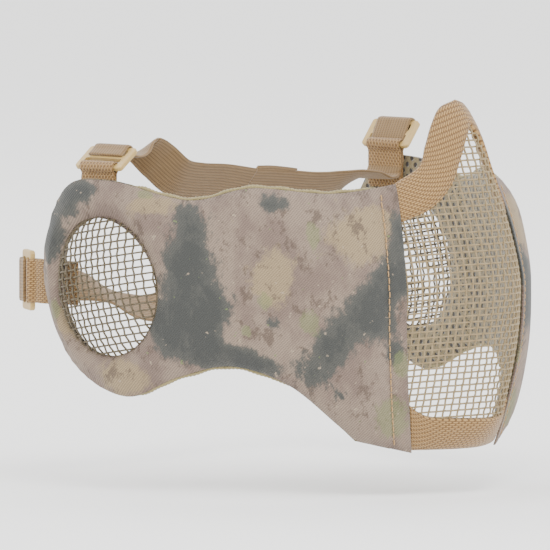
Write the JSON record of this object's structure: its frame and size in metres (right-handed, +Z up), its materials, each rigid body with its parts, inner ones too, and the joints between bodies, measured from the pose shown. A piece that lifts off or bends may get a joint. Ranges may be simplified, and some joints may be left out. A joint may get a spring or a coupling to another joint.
{
  "type": "camo half face mask",
  "caption": "Foldable half face mask with a woven wire front, camo padded cheek and ear panels, domed ear guards and adjustable elastic head straps.",
  "frame": {"origin": "middle of the head, on the line between the centres of the two ear openings", "axes": "+Z up, the mask faces -Y, the wearer's right is -X"},
  "size_m": [0.2442, 0.2145, 0.1599],
  "materials": {
    "wire_mesh": "matt khaki paint over woven steel wire",
    "webbing": "twill woven nylon webbing",
    "elastic": "ribbed woven elastic",
    "camo_fabric": "printed coated polyester, fine weave",
    "foam": "soft open cell foam",
    "spacer_mesh": "knitted air mesh with round holes",
    "glide_plastic": "moulded acetal, slight sheen"
  },
  "bodies": {
    "front": {"face_mesh": "wire_mesh", "nose_binding": "webbing", "chin_binding": "webbing", "top_elastic_sewn_end": "elastic"},
    "right_panel": {"right_outer_skin": "camo_fabric", "right_foam_pad": "foam", "right_spacer_lining": "spacer_mesh", "right_ear_guard": "wire_mesh", "right_top_strap_tab": "webbing", "right_rear_strap_tab": "webbing", "right_top_elastic": "elastic", "right_rear_elastic": "elastic"},
    "right_top_glide": {"right_top_triglide": "glide_plastic"},
    "right_rear_glide": {"right_rear_triglide": "glide_plastic"},
    "left_panel": {"left_outer_skin": "camo_fabric", "left_foam_pad": "foam", "left_spacer_lining": "spacer_mesh", "left_ear_guard": "wire_mesh", "left_top_strap_tab": "webbing", "left_rear_strap_tab": "webbing", "left_top_elastic": "elastic", "left_rear_elastic": "elastic"},
    "left_top_glide": {"left_top_triglide": "glide_plastic"},
    "left_rear_glide": {"left_rear_triglide": "glide_plastic"}
  },
  "joints": [
    {"name": "right_panel_fold", "type": "hinge", "parent": "front", "child": "right_panel", "pos_m": [-0.0445, -0.1105, -0.0135], "axis": [0, 0, 1], "range_deg": [-27, 25], "deforming": ["right_outer_skin", "right_top_elastic", "right_rear_elastic"]},
    {"name": "right_top_glide_swing", "type": "hinge", "parent": "right_panel", "child": "right_top_glide", "pos_m": [-0.10224, 0.01178, 0.054], "axis": [0, 1, 0], "range_deg": [-60, 30], "deforming": ["right_top_elastic"]},
    {"name": "right_rear_glide_swing", "type": "hinge", "parent": "right_panel", "child": "right_rear_glide", "pos_m": [-0.10211, 0.05241, 0], "axis": [0, 0, -1], "range_deg": [-60, 45], "deforming": ["right_rear_elastic"]},
    {"name": "left_panel_fold", "type": "hinge", "parent": "front", "child": "left_panel", "pos_m": [0.0445, -0.1105, -0.0135], "axis": [0, 0, -1], "range_deg": [-27, 25], "deforming": ["left_outer_skin", "left_top_elastic", "left_rear_elastic"]},
    {"name": "left_top_glide_swing", "type": "hinge", "parent": "left_panel", "child": "left_top_glide", "pos_m": [0.10224, 0.01178, 0.054], "axis": [0, -1, 0], "range_deg": [-30, 80], "deforming": ["left_top_elastic"]},
    {"name": "left_rear_glide_swing", "type": "hinge", "parent": "left_panel", "child": "left_rear_glide", "pos_m": [0.10211, 0.05241, 0], "axis": [0, 0, 1], "range_deg": [-60, 45], "deforming": ["left_rear_elastic"]}
  ]
}
